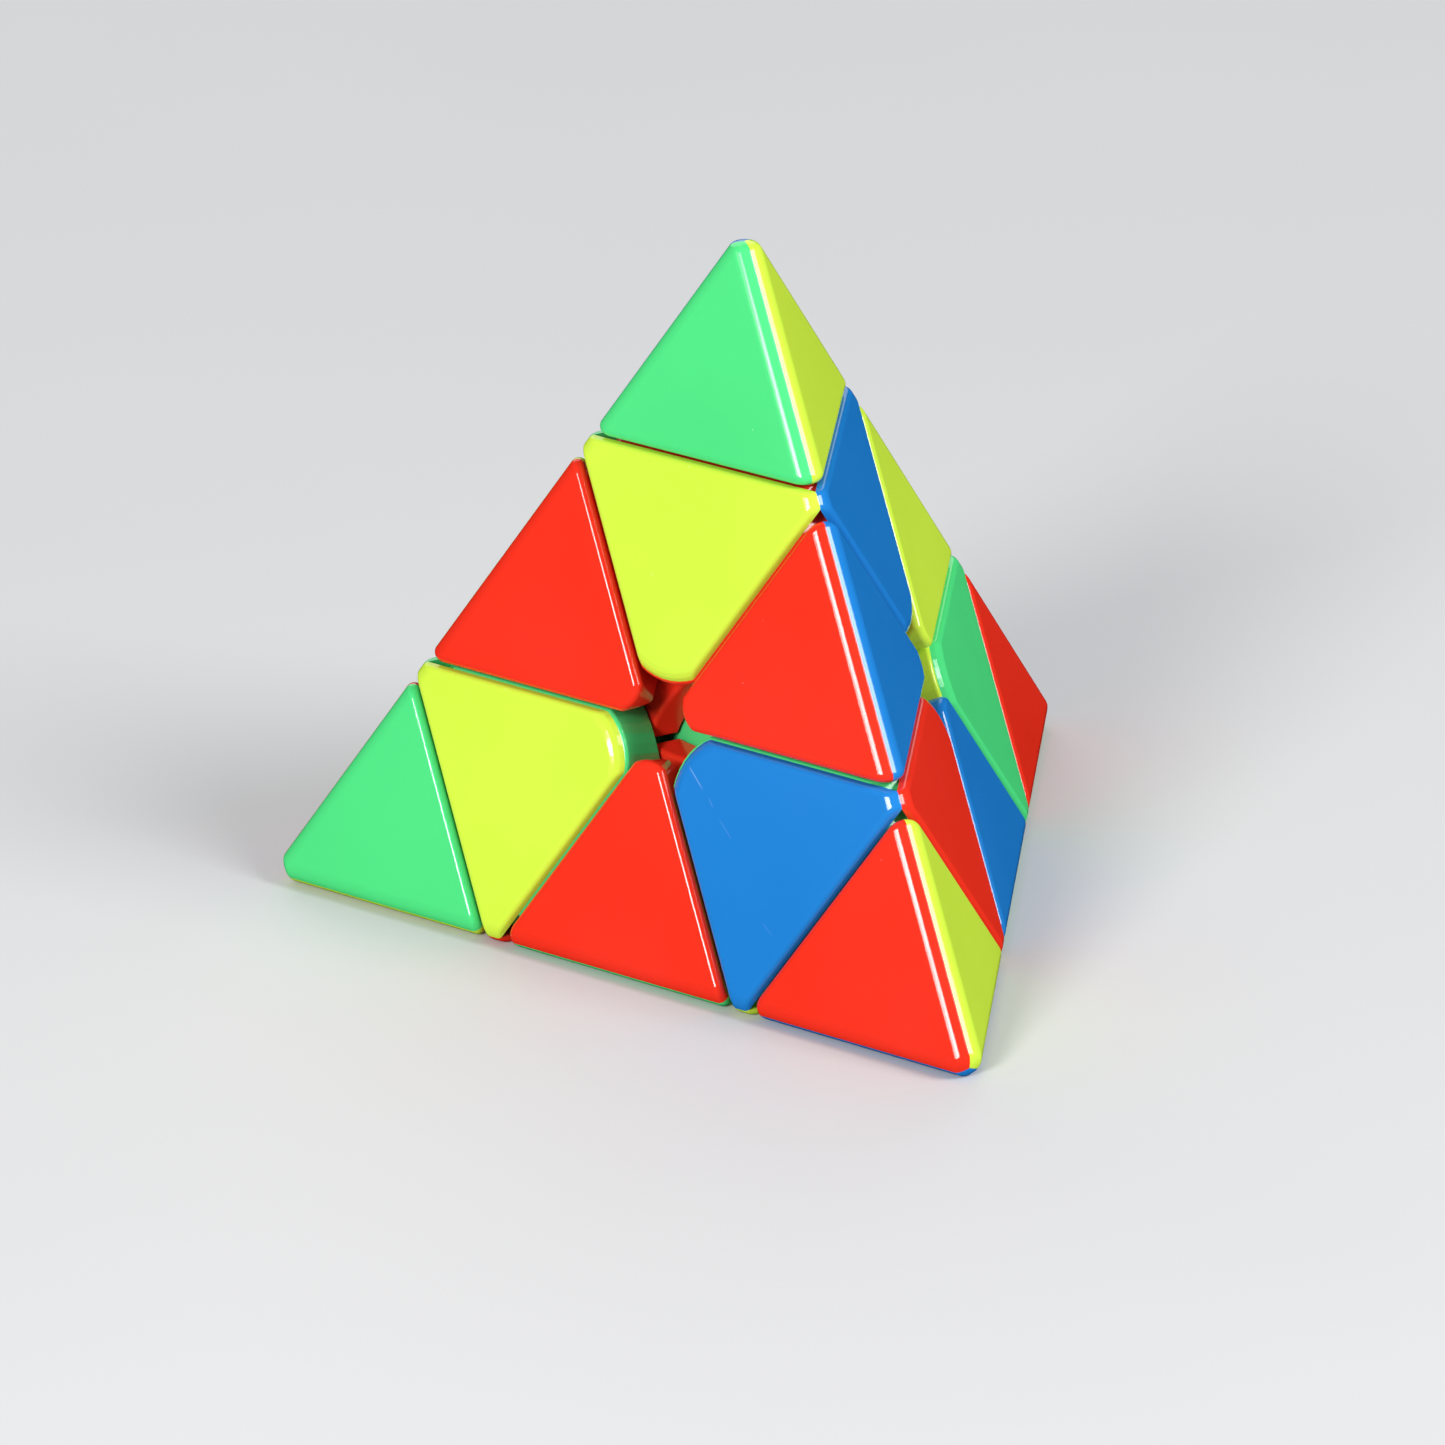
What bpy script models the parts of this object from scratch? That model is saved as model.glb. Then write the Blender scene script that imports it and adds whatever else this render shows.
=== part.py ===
"""Pyramid twisty puzzle: a regular tetrahedron cut by four pairs of planes, turning on a ball core.

The origin is the centre of the core, where the four turning axes meet. The top corner points along +Z and
the front face looks along -Y. Corners are named top, left, right and back; faces are named front, right_side,
left_side and bottom. Every layer turns about the line from the origin to its corner, so every moving piece
keeps its object origin on that line.
"""

from itertools import combinations, permutations
from math import acos, cos, pi, radians, sin, sqrt

import bmesh
import bpy
import numpy as np
from mathutils import Matrix

MM = 0.001

# Driving dimensions
EDGE = 104.5 * MM  # edge of the sharp tetrahedron; the rounded puzzle measures 98 mm from tip to tip
FIT = 0.15 * MM  # each piece stands back this far from a cut, so two neighbours are 0.3 mm apart
RIDGE_RADIUS = 1.8 * MM  # rounding of the six outer ridges
POINT_RADIUS = 3.35 * MM  # rounding of the four points
SEAM_RADIUS = 0.9 * MM  # rounding of each facelet along its seams
RIM_RADIUS = 0.5 * MM  # rounding of the hubs' edges
CAP_THICKNESS = 1.1 * MM
CAP_INSET = 0.3 * MM  # a cap stands back from its hub's rim, except beside the tip
EDGE_NOSE_RADIUS = 3.7 * MM  # rounded corner of an edge piece at a face's centre
HUB_NOSE_SETBACK = 5.0 * MM  # from a face's centre to the blunt corner of a hub
HUB_NOSE_RADIUS = 8.5 * MM

# Mechanism: concentric spheres about the origin, and turned parts along each axis
CORE_RADIUS = 10.5 * MM
FOOT_INNER_RADIUS = 11.0 * MM
FOOT_OUTER_RADIUS = 14.5 * MM
HOLLOW_RADIUS = 15.0 * MM  # underside of the hubs, over the feet
FOOT_NEAR_PLANE = 1.25 * MM  # feet in a layer stay beyond this plane across its axis
FOOT_FAR_PLANE = 0.85 * MM  # feet outside a layer stay below this one
STEM_RADIUS = 4.5 * MM
STEM_BOTTOM = 10.8 * MM
POST_RADIUS = 2.6 * MM
POST_TOP = 13.0 * MM
POST_BORE_RADIUS = 1.45 * MM
POST_BORE_BOTTOM = 4.0 * MM
SOCKET_RADIUS = 2.9 * MM  # the hub's socket turns round the core's post
SOCKET_TOP = 13.4 * MM
SHELF_HOLE_RADIUS = 1.6 * MM
SHELF_TOP = 15.6 * MM
CHAMBER_RADIUS = 3.4 * MM
CHAMBER_TOP = 28.5 * MM
PILOT_RADIUS = 1.35 * MM
MAIN_SCREW = {
    "radius": 1.3 * MM,
    "bottom": 4.4 * MM,
    "seat": 24.0 * MM,
    "head_radius": 2.8 * MM,
    "top": 26.0 * MM,
}
TIP_SCREW = {
    "radius": 1.2 * MM,
    "bottom": 29.7 * MM,
    "seat": 43.9 * MM,
    "head_radius": 2.4 * MM,
    "top": 45.7 * MM,
}
SCREW_POINT = MM  # height of the tapered end
HEAD_CHAMFER_WIDTH = 0.5 * MM
HEAD_CHAMFER_HEIGHT = 0.7 * MM
DRIVE_WIDTH = 0.7 * MM
DRIVE_DEPTH = 0.9 * MM
DRIVE_SPAN = 0.6  # of the head's radius
TIP_HOLE_RADIUS = 1.5 * MM
TIP_FLOOR = 37.5 * MM
TIP_CAVITY_RADIUS = 3.0 * MM
TIP_CAVITY_TOP = 46.7 * MM
MAIN_SPRING = {"radius": 2.35 * MM, "wire": 0.32 * MM, "bottom": 16.25 * MM, "top": 23.35 * MM, "turns": 4}
TIP_SPRING = {"radius": 2.0 * MM, "wire": 0.28 * MM, "bottom": 38.1 * MM, "top": 43.3 * MM, "turns": 3}

# The sharp tetrahedron
CORNER_DISTANCE = EDGE * sqrt(6) / 4
FACE_DISTANCE = EDGE * sqrt(6) / 12
RIDGE_DISTANCE = EDGE * sqrt(2) / 4
TIP_CUT = CORNER_DISTANCE - EDGE / 3 * sqrt(2 / 3)
LAYER_CUT = CORNER_DISTANCE - 2 * EDGE / 3 * sqrt(2 / 3)

CORNERS = {
    "top": np.array([0, 0, 1.0]),
    "left": np.array([-sqrt(2 / 3), -sqrt(2) / 3, -1 / 3]),
    "right": np.array([sqrt(2 / 3), -sqrt(2) / 3, -1 / 3]),
    "back": np.array([0, 2 * sqrt(2) / 3, -1 / 3]),
}
FACE_OPPOSITE = {"back": "front", "left": "right_side", "right": "left_side", "top": "bottom"}

# Finishes: sRGB colour, roughness, metallic
FINISHES = {
    "green": ((64, 214, 120), 0.22, 0.0),
    "lime": ((204, 240, 62), 0.22, 0.0),
    "red": ((238, 46, 30), 0.22, 0.0),
    "blue": ((24, 118, 208), 0.22, 0.0),
    "steel": ((186, 188, 190), 0.3, 1.0),
}

# Facelet colours, from the scrambled state: corner or corner pair -> colour on the face opposite each corner
TIP_COLOURS = {
    "top": {"back": "green", "left": "lime", "right": "blue"},
    "left": {"back": "green", "right": "red", "top": "lime"},
    "right": {"back": "red", "left": "lime", "top": "blue"},
    "back": {"left": "red", "right": "blue", "top": "green"},
}
CAP_COLOURS = {
    "top": {"back": "lime", "left": "blue", "right": "green"},
    "left": {"back": "lime", "right": "green", "top": "red"},
    "right": {"back": "blue", "left": "red", "top": "lime"},
    "back": {"left": "green", "right": "red", "top": "blue"},
}
HUB_COLOURS = {"top": "red", "left": "green", "right": "green", "back": "lime"}
EDGE_COLOURS = {
    ("top", "left"): {"back": "red", "right": "lime"},
    ("top", "right"): {"back": "red", "left": "blue"},
    ("top", "back"): {"left": "lime", "right": "blue"},
    ("left", "right"): {"back": "red", "top": "green"},
    ("left", "back"): {"top": "lime", "right": "green"},
    ("right", "back"): {"left": "blue", "top": "green"},
}
# An edge piece is carried by one of its two layers and follows the other's turn. With this choice all four
# layers can stand a third of a turn round at once, each edge piece in a place of its own.
EDGE_PARENT = {
    ("top", "left"): "top",
    ("top", "right"): "top",
    ("top", "back"): "back",
    ("left", "right"): "left",
    ("left", "back"): "left",
    ("right", "back"): "back",
}

ARC_STEP = radians(38)
BALL_SUBDIVISIONS = 3
TURNED_SIDES = 24
COIL_STEPS = 10


def unit(vector):
    return vector / np.linalg.norm(vector)


def clear_scene():
    for thing in list(bpy.data.objects):
        bpy.data.objects.remove(thing)


def linear(channel):
    value = channel / 255
    return value / 12.92 if value <= 0.04045 else ((value + 0.055) / 1.055) ** 2.4


def make_finishes():
    made = {}
    for name, (colour, roughness, metallic) in FINISHES.items():
        material = bpy.data.materials.new(name)
        material.use_nodes = True
        shader = material.node_tree.nodes["Principled BSDF"]
        shader.inputs["Base Color"].default_value = [linear(c) for c in colour] + [1]
        shader.inputs["Roughness"].default_value = roughness
        shader.inputs["Metallic"].default_value = metallic
        made[name] = material
    return made


# Convex pieces are stated as planes (outward normal, distance from the origin, rounded or not).


def corners_of(planes):
    """Each corner of the convex solid inside the planes, with the set of planes through it."""
    found = {}
    for trio in combinations(range(len(planes)), 3):
        normals = np.array([planes[i][0] for i in trio])
        if abs(np.linalg.det(normals)) < 1e-6:
            continue
        point = np.linalg.solve(normals, [planes[i][1] for i in trio])
        slack = [distance - normal @ point for normal, distance, _ in planes]
        if min(slack) > -1e-8:
            key = tuple(np.round(point, 7))
            found[key] = (point, {i for i, room in enumerate(slack) if room < 1e-8})
    return list(found.values())


def between(start, end, share):
    """The unit vector that lies a share of the way round from one direction to another."""
    angle = acos(np.clip(start @ end, -1, 1))
    return (start * sin((1 - share) * angle) + end * sin(share * angle)) / sin(angle)


def rounded_points(planes, radius, arc_step=ARC_STEP):
    """Points whose hull is the solid inside the planes, with the edges between rounded planes rounded."""
    inset = [(n, d - radius if soft else d, soft) for n, d, soft in planes]
    corners = corners_of(inset)
    points = []
    for corner, touching in corners:
        soft = [i for i in touching if inset[i][2]]
        hard = [i for i in touching if not inset[i][2]]
        if not soft:
            points.append(corner)
            continue
        if len(hard) > 1:
            along = np.cross(inset[hard[0]][0], inset[hard[1]][0])
            steepest = max(abs(inset[i][0] @ along) for i in soft)
            side = sum(inset[i][0] for i in soft) @ along
            points.append(corner + along * radius / steepest * np.sign(side))
            continue
        for i, j in combinations(soft, 2):
            if sum({i, j} <= others for _, others in corners) < 2:
                continue
            first, second = inset[i][0], inset[j][0]
            steps = max(1, round(acos(np.clip(first @ second, -1, 1)) / arc_step))
            for k in range(steps + 1):
                shift = between(first, second, k / steps) * radius
                if hard:
                    along = np.cross(first, second)
                    stop = inset[hard[0]][0]
                    shift = shift - along * (stop @ shift) / (stop @ along)
                points.append(corner + shift)
    return points


def hull_mesh(name, points):
    mesh = bpy.data.meshes.new(name)
    bm = bmesh.new()
    for point in points:
        bm.verts.new(point)
    bmesh.ops.remove_doubles(bm, verts=bm.verts, dist=0.002 * MM)
    hull = bmesh.ops.convex_hull(bm, input=bm.verts)
    spare = {v for v in hull["geom_interior"] + hull["geom_unused"] if isinstance(v, bmesh.types.BMVert)}
    bmesh.ops.delete(bm, geom=list(spare), context="VERTS")
    bmesh.ops.dissolve_limit(bm, angle_limit=radians(0.2), verts=bm.verts, edges=bm.edges)
    bmesh.ops.recalc_face_normals(bm, faces=bm.faces)
    bm.to_mesh(mesh)
    bm.free()
    return mesh


def add_object(name, data):
    thing = bpy.data.objects.new(name, data)
    bpy.context.scene.collection.objects.link(thing)
    return thing


def helper(name, mesh):
    """A cutter or a joining solid: kept out of renders and drawn as wire."""
    thing = add_object(name, mesh)
    thing.hide_render = True
    thing.display_type = "WIRE"
    return thing


def convex_helper(name, planes, radius=0.0):
    points = rounded_points(planes, radius) if radius else [corner for corner, _ in corners_of(planes)]
    return helper(name, hull_mesh(name, points))


def ball_helper(name, radius, subdivisions=BALL_SUBDIVISIONS):
    mesh = bpy.data.meshes.new(name)
    bm = bmesh.new()
    bmesh.ops.create_icosphere(bm, subdivisions=subdivisions, radius=radius)
    bm.to_mesh(mesh)
    bm.free()
    return helper(name, mesh)


def turned_mesh(name, outline, sides=TURNED_SIDES):
    """A solid of revolution about Z, from (radius, height) pairs that run from bottom to top."""
    mesh = bpy.data.meshes.new(name)
    bm = bmesh.new()
    rings = []
    for radius, height in outline:
        angles = [2 * pi * k / sides for k in range(sides)]
        rings.append([bm.verts.new((radius * cos(t), radius * sin(t), height)) for t in angles])
    for below, above in zip(rings, rings[1:]):
        for k in range(sides):
            bm.faces.new((below[k], below[(k + 1) % sides], above[(k + 1) % sides], above[k]))
    bm.faces.new(list(reversed(rings[0])))
    bm.faces.new(rings[-1])
    bm.to_mesh(mesh)
    bm.free()
    return mesh


def combine(thing, other, operation):
    modifier = thing.modifiers.new(operation.lower(), "BOOLEAN")
    modifier.operation = operation
    modifier.solver = "EXACT"
    modifier.object = other


def baked_mesh(thing):
    """The object's shape with its modifiers applied."""
    bpy.context.view_layer.update()
    graph = bpy.context.evaluated_depsgraph_get()
    return bpy.data.meshes.new_from_object(thing.evaluated_get(graph), depsgraph=graph)


def rotations():
    """The 12 turns that carry a tetrahedron onto itself, each with its map of corner names."""
    found = []
    for order in permutations(CORNERS):
        matrix = 0.75 * sum(np.outer(CORNERS[new], CORNERS[old]) for old, new in zip(CORNERS, order))
        if np.linalg.det(matrix) > 0:
            found.append((dict(zip(CORNERS, order)), Matrix(matrix.tolist()).to_4x4()))
    return found


ROTATIONS = rotations()


def corner_turn(corner):
    """The turn that carries the top corner's pieces to a corner: a half turn that swaps the two."""
    for mapping, turn in ROTATIONS:
        if mapping["top"] == corner and mapping[corner] == "top":
            if corner != "top" or mapping["left"] == "left":
                return turn
    raise ValueError(corner)


def place(name, mesh, finish, turn, parent):
    """One finished piece: its own mesh, turned into place under its body's empty."""
    thing = add_object(name, mesh.copy())
    thing.data.name = name
    thing.data.materials.clear()
    thing.data.materials.append(finish)
    thing.data.shade_smooth()
    thing.data.set_sharp_from_angle(angle=radians(25))
    thing.matrix_world = turn
    thing.parent = parent
    return thing


def body_empty(name):
    empty = add_object(name, None)
    empty.empty_display_size = EDGE / 8
    return empty


# Planes that several pieces share. The patterns belong to the top corner, the top-left edge and the front.
TOP, LEFT, RIGHT, BACK = CORNERS.values()
FRONT_NORMAL = -BACK


def ridge_planes(near_face, first, second):
    """Flats round half a ridge, from a face to the ridge's own direction."""
    outward = unit(first + second)
    centre = outward * (RIDGE_DISTANCE - RIDGE_RADIUS * sqrt(3))
    normals = [between(near_face, outward, 0.5), outward]
    return [(n, n @ centre + RIDGE_RADIUS, True) for n in normals]


def dome_planes():
    """Flats round the top point, tangent to a ball that the three ridges run out on."""
    ridges = [unit(TOP + LEFT), unit(TOP + RIGHT)]
    ridge_top = RIDGE_DISTANCE - RIDGE_RADIUS * (sqrt(3) - 1)
    centre = TOP * (ridge_top - POINT_RADIUS) / (TOP @ ridges[0])
    directions = [TOP]
    directions += [between(TOP, FRONT_NORMAL, share) for share in (1 / 4, 1 / 2)]
    directions += [between(TOP, ridge, share) for ridge in ridges for share in (1 / 3, 2 / 3)]
    return [(n, n @ centre + POINT_RADIUS, True) for n in directions]


def split_plane(first, second, own_side):
    """The plane through the origin and two corners; the piece lies on the side of the third corner."""
    normal = unit(np.cross(first, second))
    normal = normal if normal @ own_side < 0 else -normal
    return (normal, -FIT, False)


def front_nose_planes(toward, radius, setback, half_turn, count):
    """Upright flats round a blunt corner at the front face's centre; they stand square to the face.

    toward is the in-face direction from the piece to the face's centre."""
    face_centre = FRONT_NORMAL * FACE_DISTANCE
    arc_centre = face_centre - toward * (setback + radius)
    across = np.cross(FRONT_NORMAL, toward)
    planes = []
    for k in range(count):
        angle = half_turn * (2 * k / (count - 1) - 1)
        normal = toward * cos(angle) + across * sin(angle)
        planes.append((normal, normal @ arc_centre + radius, True))
    return planes


def tip_pattern():
    """One of the three 120 degree shells of a tip: the top corner's front shell."""
    planes = [
        (FRONT_NORMAL, FACE_DISTANCE, True),
        (-TOP, -(TIP_CUT + FIT), True),
        split_plane(TOP, LEFT, RIGHT),
        split_plane(TOP, RIGHT, LEFT),
    ]
    planes += ridge_planes(FRONT_NORMAL, TOP, LEFT) + ridge_planes(FRONT_NORMAL, TOP, RIGHT) + dome_planes()
    shell = convex_helper("tip_pattern", planes, SEAM_RADIUS)
    outline = [
        (TIP_HOLE_RADIUS, TIP_CUT - MM),
        (TIP_HOLE_RADIUS, TIP_FLOOR),
        (TIP_CAVITY_RADIUS, TIP_FLOOR),
        (TIP_CAVITY_RADIUS, TIP_CAVITY_TOP),
    ]
    combine(shell, helper("tip_cavity", turned_mesh("tip_cavity", outline)), "DIFFERENCE")
    return shell


def edge_pattern():
    """The front half of the top-left edge piece: outer wedge, neck and foot in one."""
    outward = unit(TOP + LEFT)
    toward_centre = unit(-outward + (outward @ FRONT_NORMAL) * FRONT_NORMAL)
    halving = split_plane(TOP, LEFT, RIGHT)
    setback = EDGE_NOSE_RADIUS + 2 * FIT
    planes = [
        (FRONT_NORMAL, FACE_DISTANCE, True),
        (-TOP, -(LAYER_CUT + FIT), True),
        (-LEFT, -(LAYER_CUT + FIT), True),
        halving,
    ]
    planes += ridge_planes(FRONT_NORMAL, TOP, LEFT)
    planes += front_nose_planes(toward_centre, EDGE_NOSE_RADIUS, setback, radians(30), 3)
    wedge = convex_helper("edge_pattern", planes, SEAM_RADIUS)

    gap = 2 * FIT / sqrt(8 / 3)
    foot_planes = [
        halving,
        (-TOP, -FOOT_NEAR_PLANE, False),
        (-LEFT, -FOOT_NEAR_PLANE, False),
        (RIGHT, FOOT_FAR_PLANE, False),
        (unit(RIGHT - TOP), -gap / 2, False),
        (unit(RIGHT - LEFT), -gap / 2, False),
        (outward, 2 * FOOT_OUTER_RADIUS, False),
    ]
    foot = convex_helper("foot_pattern", foot_planes)
    combine(foot, ball_helper("foot_outside", FOOT_OUTER_RADIUS), "INTERSECT")
    combine(foot, ball_helper("foot_inside", FOOT_INNER_RADIUS), "DIFFERENCE")
    combine(wedge, foot, "UNION")
    return wedge


def front_hub_nose(inset):
    toward_centre = unit(-BACK - 3 * TOP)
    return front_nose_planes(toward_centre, HUB_NOSE_RADIUS, HUB_NOSE_SETBACK + inset, radians(20), 3)


def cap_pattern():
    """The coloured front plate of the top hub, sliced from a deeper rounded block."""
    planes = [
        (FRONT_NORMAL, FACE_DISTANCE, True),
        (-FRONT_NORMAL, -FACE_DISTANCE / 2, False),
        (TOP, TIP_CUT - FIT, True),
        (LEFT, LAYER_CUT - FIT - CAP_INSET, True),
        (RIGHT, LAYER_CUT - FIT - CAP_INSET, True),
        split_plane(TOP, LEFT, RIGHT),
        split_plane(TOP, RIGHT, LEFT),
    ]
    planes += ridge_planes(FRONT_NORMAL, TOP, LEFT) + ridge_planes(FRONT_NORMAL, TOP, RIGHT)
    plate = convex_helper("cap_pattern", planes + front_hub_nose(CAP_INSET), SEAM_RADIUS)
    across = unit(np.cross(FRONT_NORMAL, TOP))
    up = np.cross(across, FRONT_NORMAL)
    slice_planes = [(direction, EDGE, False) for direction in (FRONT_NORMAL, across, -across, up, -up)]
    slice_planes.append((-FRONT_NORMAL, -(FACE_DISTANCE - CAP_THICKNESS), False))
    combine(plate, convex_helper("cap_slice", slice_planes), "INTERSECT")
    return plate


def hub_pattern():
    """The top hub: an octahedral body over the feet, with a stem that turns round the core's post."""
    body_planes = [(TOP, TIP_CUT - FIT, True), (-TOP, -(LAYER_CUT + FIT), True)]
    for corner in (LEFT, RIGHT, BACK):
        body_planes.append((corner, LAYER_CUT - FIT, True))
        body_planes.append((-corner, FACE_DISTANCE - CAP_THICKNESS - 2 * FIT, True))
    for mapping, turn in ROTATIONS:
        if mapping["top"] == "top":
            rotate = np.array(turn.to_3x3())
            body_planes += [(rotate @ normal, distance, soft) for normal, distance, soft in front_hub_nose(0)]
    body = convex_helper("hub_pattern", body_planes, RIM_RADIUS)
    combine(body, ball_helper("hub_hollow", HOLLOW_RADIUS), "DIFFERENCE")
    stem_outline = [(STEM_RADIUS, STEM_BOTTOM), (STEM_RADIUS, HOLLOW_RADIUS + 2 * MM)]
    combine(body, helper("hub_stem", turned_mesh("hub_stem", stem_outline)), "UNION")
    bore = [
        (SOCKET_RADIUS, STEM_BOTTOM - MM),
        (SOCKET_RADIUS, SOCKET_TOP),
        (SHELF_HOLE_RADIUS, SOCKET_TOP),
        (SHELF_HOLE_RADIUS, SHELF_TOP),
        (CHAMBER_RADIUS, SHELF_TOP),
        (CHAMBER_RADIUS, CHAMBER_TOP),
        (PILOT_RADIUS, CHAMBER_TOP),
        (PILOT_RADIUS, TIP_CUT + MM),
    ]
    combine(body, helper("hub_bore", turned_mesh("hub_bore", bore)), "DIFFERENCE")
    return body


def core_pattern():
    """The ball core with its four drilled posts."""
    ball = ball_helper("core_pattern", CORE_RADIUS)
    post_outline = [(POST_RADIUS, CORE_RADIUS / 2), (POST_RADIUS, POST_TOP)]
    bore_outline = [(POST_BORE_RADIUS, POST_BORE_BOTTOM), (POST_BORE_RADIUS, POST_TOP + MM)]
    post_mesh = turned_mesh("core_post", post_outline, 16)
    bore_mesh = turned_mesh("core_bore", bore_outline, 16)
    turns = [corner_turn(corner) for corner in CORNERS]
    for mesh, operation in ((post_mesh, "UNION"), (bore_mesh, "DIFFERENCE")):
        for turn in turns:
            tool = helper(mesh.name, mesh)
            tool.matrix_world = turn
            combine(ball, tool, operation)
    return ball


def screw_pattern(name, size):
    """A pan-head screw along Z with a cross recess."""
    outline = [
        (size["radius"] / 2, size["bottom"]),
        (size["radius"], size["bottom"] + SCREW_POINT),
        (size["radius"], size["seat"]),
        (size["head_radius"], size["seat"]),
        (size["head_radius"], size["top"] - HEAD_CHAMFER_HEIGHT),
        (size["head_radius"] - HEAD_CHAMFER_WIDTH, size["top"]),
    ]
    screw = helper(name, turned_mesh(name, outline, 16))
    arm = size["head_radius"] * DRIVE_SPAN
    for across in ((arm, DRIVE_WIDTH / 2), (DRIVE_WIDTH / 2, arm)):
        slot_planes = [
            (np.array([1.0, 0, 0]), across[0], False),
            (np.array([-1.0, 0, 0]), across[0], False),
            (np.array([0, 1.0, 0]), across[1], False),
            (np.array([0, -1.0, 0]), across[1], False),
            (np.array([0, 0, 1.0]), size["top"] + MM, False),
            (np.array([0, 0, -1.0]), DRIVE_DEPTH - size["top"], False),
        ]
        combine(screw, convex_helper(name + "_drive", slot_planes), "DIFFERENCE")
    return screw


def spring_pattern(name, size):
    """A round-wire compression spring along Z."""
    curve = bpy.data.curves.new(name, "CURVE")
    curve.dimensions = "3D"
    curve.bevel_depth = size["wire"]
    curve.bevel_resolution = 0
    curve.use_fill_caps = True
    coil = curve.splines.new("POLY")
    count = COIL_STEPS * size["turns"]
    coil.points.add(count)
    for k, point in enumerate(coil.points):
        angle = 2 * pi * k / COIL_STEPS
        height = size["bottom"] + (size["top"] - size["bottom"]) * k / count
        point.co = (size["radius"] * cos(angle), size["radius"] * sin(angle), height, 1)
    thing = add_object(name, curve)
    thing.hide_render = True
    return thing


def build_core(finishes, meshes, root):
    place("core_ball", meshes["core"], finishes["green"], Matrix(), root)
    for corner in CORNERS:
        turn = corner_turn(corner)
        place(f"screw_{corner}", meshes["screw"], finishes["steel"], turn, root)
        place(f"spring_{corner}", meshes["spring"], finishes["steel"], turn, root)


def build_corner(corner, finishes, meshes, hub_empty, tip_empty):
    """The hub with its three caps and tip screw, and the tip's three shells and spring."""
    turn = corner_turn(corner)
    place(f"hub_{corner}", meshes["hub"], finishes[HUB_COLOURS[corner]], turn, hub_empty)
    place(f"tip_screw_{corner}", meshes["tip_screw"], finishes["steel"], turn, hub_empty)
    place(f"tip_spring_{corner}", meshes["tip_spring"], finishes["steel"], turn, tip_empty)
    for mapping, face_turn in ROTATIONS:
        if mapping["top"] != corner:
            continue
        away = mapping["back"]
        face = FACE_OPPOSITE[away]
        cap_finish = finishes[CAP_COLOURS[corner][away]]
        tip_finish = finishes[TIP_COLOURS[corner][away]]
        place(f"cap_{corner}_{face}", meshes["cap"], cap_finish, face_turn, hub_empty)
        place(f"tip_{corner}_{face}_shell", meshes["tip"], tip_finish, face_turn, tip_empty)


def build_edge(pair, finishes, meshes, empty):
    for mapping, turn in ROTATIONS:
        if {mapping["top"], mapping["left"]} != set(pair):
            continue
        away = mapping["back"]
        finish = finishes[EDGE_COLOURS[pair][away]]
        place(f"edge_{pair[0]}_{pair[1]}_{FACE_OPPOSITE[away]}_half", meshes["edge"], finish, turn, empty)


def main():
    clear_scene()
    finishes = make_finishes()
    patterns = {
        "core": core_pattern(),
        "hub": hub_pattern(),
        "cap": cap_pattern(),
        "tip": tip_pattern(),
        "edge": edge_pattern(),
        "screw": screw_pattern("screw_pattern", MAIN_SCREW),
        "tip_screw": screw_pattern("tip_screw_pattern", TIP_SCREW),
        "spring": spring_pattern("spring_pattern", MAIN_SPRING),
        "tip_spring": spring_pattern("tip_spring_pattern", TIP_SPRING),
    }
    meshes = {name: baked_mesh(pattern) for name, pattern in patterns.items()}
    for thing in list(bpy.data.objects):
        bpy.data.objects.remove(thing)

    root = body_empty("core_body")
    build_core(finishes, meshes, root)
    hubs = {}
    for corner in CORNERS:
        hubs[corner] = body_empty(f"{corner}_layer_body")
        hubs[corner].parent = root
        tip_empty = body_empty(f"{corner}_tip_body")
        tip_empty.parent = hubs[corner]
        build_corner(corner, finishes, meshes, hubs[corner], tip_empty)
    for pair in EDGE_COLOURS:
        empty = body_empty(f"{pair[0]}_{pair[1]}_edge_body")
        empty.parent = hubs[EDGE_PARENT[pair]]
        build_edge(pair, finishes, meshes, empty)


main()
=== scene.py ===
"""Looks for a pyramid twisty puzzle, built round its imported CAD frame.

Every visible moulding is rebuilt here with fine rounding and exact shading normals: 12 tip shells, 12 caps,
12 edge halves, 4 hubs and the core. They have the CAD's dimensions, apart from the few below that are marked
as the mouldings' own. The screws and the springs are the CAD nodes with better materials. Corners and faces
are named as in the CAD: the top corner points along +Z and the front face looks along -Y.
"""

from itertools import combinations, permutations
from math import acos, ceil, cos, pi, radians, sin, sqrt

import bmesh
import bpy
import numpy as np
from mathutils import Matrix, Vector
from mathutils.kdtree import KDTree


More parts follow.
